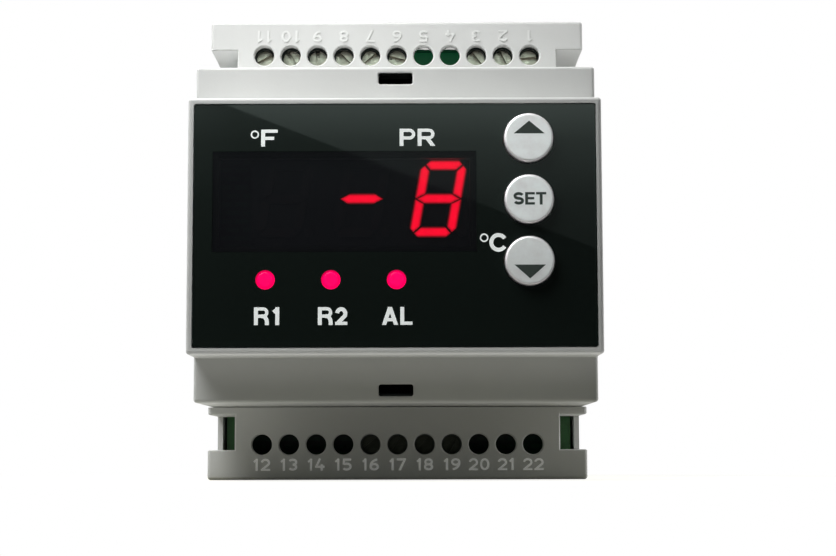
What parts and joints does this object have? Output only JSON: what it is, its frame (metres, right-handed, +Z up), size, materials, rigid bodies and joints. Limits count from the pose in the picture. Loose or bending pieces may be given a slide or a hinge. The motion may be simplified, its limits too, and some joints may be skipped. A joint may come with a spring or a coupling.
{
  "type": "din rail thermostat",
  "caption": "Digital thermostat in a stepped light grey enclosure for a 35 mm top-hat rail, with a black front, lit display, round keys, indicator lamps and screw terminals.",
  "frame": {"origin": "centre of the rail seat, in the plane where the rail's flanges bear on the back of the housing", "axes": "+X to the right as seen by the user, +Y back towards the rail and the wall, +Z up"},
  "size_m": [0.07, 0.062, 0.086],
  "materials": {
    "housing": "fine moulded texture",
    "clip_plastic": "satin",
    "spring_steel": "plain",
    "label_film": "gloss",
    "smoked_window": "gloss",
    "display_black": "satin",
    "lit_red": "diffused",
    "unlit_segment": "diffused",
    "key_silver": "satin silver",
    "switch_plastic": "satin",
    "lamp_pink": "diffused",
    "board_green": "solder resist",
    "chip_black": "satin",
    "relay_plastic": "satin",
    "potting": "satin",
    "capacitor_sleeve": "gloss",
    "block_plastic": "satin",
    "contact_brass": "tin plated",
    "screw_steel": "zinc plated",
    "cage_steel": "zinc plated"
  },
  "bodies": {
    "case": {"rear_housing": "housing", "front_cover": "housing", "upper_terminal_cover": "housing", "lower_terminal_cover": "housing", "clip_spring": "spring_steel", "front_label": "label_film", "display_window": "smoked_window", "display_module": "display_black", "lit_segments": "lit_red", "dark_segments": "unlit_segment", "tact_switches": "switch_plastic", "relay_1_light": "lamp_pink", "relay_2_light": "lamp_pink", "alarm_light": "lamp_pink", "main_board": "board_green", "front_board": "board_green", "link_board": "board_green", "microcontroller": "chip_black", "relay_1": "relay_plastic", "relay_2": "relay_plastic", "transformer": "potting", "smoothing_capacitor": "capacitor_sleeve", "terminal_block_1_3": "block_plastic", "terminal_block_6_11": "block_plastic", "terminal_block_16_19": "block_plastic", "terminal_contacts": "contact_brass"},
    "up_key": {"up_button": "key_silver", "up_plunger": "switch_plastic"},
    "set_key": {"set_button": "key_silver", "set_plunger": "switch_plastic"},
    "down_key": {"down_button": "key_silver", "down_plunger": "switch_plastic"},
    "clip": {"rail_clip": "clip_plastic"},
    "screw_01": {"screw_01": "screw_steel"},
    "cage_01": {"cage_01": "cage_steel"},
    "screw_02": {"screw_02": "screw_steel"},
    "cage_02": {"cage_02": "cage_steel"},
    "screw_03": {"screw_03": "screw_steel"},
    "cage_03": {"cage_03": "cage_steel"},
    "screw_06": {"screw_06": "screw_steel"},
    "cage_06": {"cage_06": "cage_steel"},
    "screw_07": {"screw_07": "screw_steel"},
    "cage_07": {"cage_07": "cage_steel"},
    "screw_08": {"screw_08": "screw_steel"},
    "cage_08": {"cage_08": "cage_steel"},
    "screw_09": {"screw_09": "screw_steel"},
    "cage_09": {"cage_09": "cage_steel"},
    "screw_10": {"screw_10": "screw_steel"},
    "cage_10": {"cage_10": "cage_steel"},
    "screw_11": {"screw_11": "screw_steel"},
    "cage_11": {"cage_11": "cage_steel"},
    "screw_16": {"screw_16": "screw_steel"},
    "cage_16": {"cage_16": "cage_steel"},
    "screw_17": {"screw_17": "screw_steel"},
    "cage_17": {"cage_17": "cage_steel"},
    "screw_18": {"screw_18": "screw_steel"},
    "cage_18": {"cage_18": "cage_steel"},
    "screw_19": {"screw_19": "screw_steel"},
    "cage_19": {"cage_19": "cage_steel"}
  },
  "joints": [
    {"name": "button_up", "type": "slide", "parent": "case", "child": "up_key", "axis": [0, 1, 0], "range_m": [0, 0.0005], "stiffness_N_per_m": 3000},
    {"name": "button_set", "type": "slide", "parent": "case", "child": "set_key", "axis": [0, 1, 0], "range_m": [0, 0.0005], "stiffness_N_per_m": 3000},
    {"name": "button_down", "type": "slide", "parent": "case", "child": "down_key", "axis": [0, 1, 0], "range_m": [0, 0.0005], "stiffness_N_per_m": 3000},
    {"name": "clip_slide", "type": "slide", "parent": "case", "child": "clip", "axis": [0, 0, -1], "range_m": [0, 0.003], "stiffness_N_per_m": 1500, "springref_m": -0.001, "deforming": ["clip_spring"]},
    {"name": "screw_01_turn", "type": "hinge", "parent": "case", "child": "screw_01", "pos_m": [0.025, -0.0209, 0.0365], "axis": [0, 1, 0], "range_deg": [0, 1446]},
    {"name": "cage_01_rise", "type": "slide", "parent": "case", "child": "cage_01", "axis": [0, -1, 0], "range_m": [0, 0.0018]},
    {"name": "screw_02_turn", "type": "hinge", "parent": "case", "child": "screw_02", "pos_m": [0.02, -0.0209, 0.0365], "axis": [0, 1, 0], "range_deg": [0, 1446]},
    {"name": "cage_02_rise", "type": "slide", "parent": "case", "child": "cage_02", "axis": [0, -1, 0], "range_m": [0, 0.0018]},
    {"name": "screw_03_turn", "type": "hinge", "parent": "case", "child": "screw_03", "pos_m": [0.015, -0.0209, 0.0365], "axis": [0, 1, 0], "range_deg": [0, 1446]},
    {"name": "cage_03_rise", "type": "slide", "parent": "case", "child": "cage_03", "axis": [0, -1, 0], "range_m": [0, 0.0018]},
    {"name": "screw_06_turn", "type": "hinge", "parent": "case", "child": "screw_06", "pos_m": [0, -0.0209, 0.0365], "axis": [0, 1, 0], "range_deg": [0, 1446]},
    {"name": "cage_06_rise", "type": "slide", "parent": "case", "child": "cage_06", "axis": [0, -1, 0], "range_m": [0, 0.0018]},
    {"name": "screw_07_turn", "type": "hinge", "parent": "case", "child": "screw_07", "pos_m": [-0.005, -0.0209, 0.0365], "axis": [0, 1, 0], "range_deg": [0, 1446]},
    {"name": "cage_07_rise", "type": "slide", "parent": "case", "child": "cage_07", "axis": [0, -1, 0], "range_m": [0, 0.0018]},
    {"name": "screw_08_turn", "type": "hinge", "parent": "case", "child": "screw_08", "pos_m": [-0.01, -0.0209, 0.0365], "axis": [0, 1, 0], "range_deg": [0, 1446]},
    {"name": "cage_08_rise", "type": "slide", "parent": "case", "child": "cage_08", "axis": [0, -1, 0], "range_m": [0, 0.0018]},
    {"name": "screw_09_turn", "type": "hinge", "parent": "case", "child": "screw_09", "pos_m": [-0.015, -0.0209, 0.0365], "axis": [0, 1, 0], "range_deg": [0, 1446]},
    {"name": "cage_09_rise", "type": "slide", "parent": "case", "child": "cage_09", "axis": [0, -1, 0], "range_m": [0, 0.0018]},
    {"name": "screw_10_turn", "type": "hinge", "parent": "case", "child": "screw_10", "pos_m": [-0.02, -0.0209, 0.0365], "axis": [0, 1, 0], "range_deg": [0, 1446]},
    {"name": "cage_10_rise", "type": "slide", "parent": "case", "child": "cage_10", "axis": [0, -1, 0], "range_m": [0, 0.0018]},
    {"name": "screw_11_turn", "type": "hinge", "parent": "case", "child": "screw_11", "pos_m": [-0.025, -0.0209, 0.0365], "axis": [0, 1, 0], "range_deg": [0, 1446]},
    {"name": "cage_11_rise", "type": "slide", "parent": "case", "child": "cage_11", "axis": [0, -1, 0], "range_m": [0, 0.0018]},
    {"name": "screw_16_turn", "type": "hinge", "parent": "case", "child": "screw_16", "pos_m": [-0.005, -0.0209, -0.0365], "axis": [0, 1, 0], "range_deg": [0, 1446]},
    {"name": "cage_16_rise", "type": "slide", "parent": "case", "child": "cage_16", "axis": [0, -1, 0], "range_m": [0, 0.0018]},
    {"name": "screw_17_turn", "type": "hinge", "parent": "case", "child": "screw_17", "pos_m": [0, -0.0209, -0.0365], "axis": [0, 1, 0], "range_deg": [0, 1446]},
    {"name": "cage_17_rise", "type": "slide", "parent": "case", "child": "cage_17", "axis": [0, -1, 0], "range_m": [0, 0.0018]},
    {"name": "screw_18_turn", "type": "hinge", "parent": "case", "child": "screw_18", "pos_m": [0.005, -0.0209, -0.0365], "axis": [0, 1, 0], "range_deg": [0, 1446]},
    {"name": "cage_18_rise", "type": "slide", "parent": "case", "child": "cage_18", "axis": [0, -1, 0], "range_m": [0, 0.0018]},
    {"name": "screw_19_turn", "type": "hinge", "parent": "case", "child": "screw_19", "pos_m": [0.01, -0.0209, -0.0365], "axis": [0, 1, 0], "range_deg": [0, 1446]},
    {"name": "cage_19_rise", "type": "slide", "parent": "case", "child": "cage_19", "axis": [0, -1, 0], "range_m": [0, 0.0018]}
  ],
  "couplings": [
    {"joint": "screw_01_turn", "follows": "cage_01_rise", "rad_per_m": 13963},
    {"joint": "screw_02_turn", "follows": "cage_02_rise", "rad_per_m": 13963},
    {"joint": "screw_03_turn", "follows": "cage_03_rise", "rad_per_m": 13963},
    {"joint": "screw_06_turn", "follows": "cage_06_rise", "rad_per_m": 13963},
    {"joint": "screw_07_turn", "follows": "cage_07_rise", "rad_per_m": 13963},
    {"joint": "screw_08_turn", "follows": "cage_08_rise", "rad_per_m": 13963},
    {"joint": "screw_09_turn", "follows": "cage_09_rise", "rad_per_m": 13963},
    {"joint": "screw_10_turn", "follows": "cage_10_rise", "rad_per_m": 13963},
    {"joint": "screw_11_turn", "follows": "cage_11_rise", "rad_per_m": 13963},
    {"joint": "screw_16_turn", "follows": "cage_16_rise", "rad_per_m": 13963},
    {"joint": "screw_17_turn", "follows": "cage_17_rise", "rad_per_m": 13963},
    {"joint": "screw_18_turn", "follows": "cage_18_rise", "rad_per_m": 13963},
    {"joint": "screw_19_turn", "follows": "cage_19_rise", "rad_per_m": 13963}
  ]
}
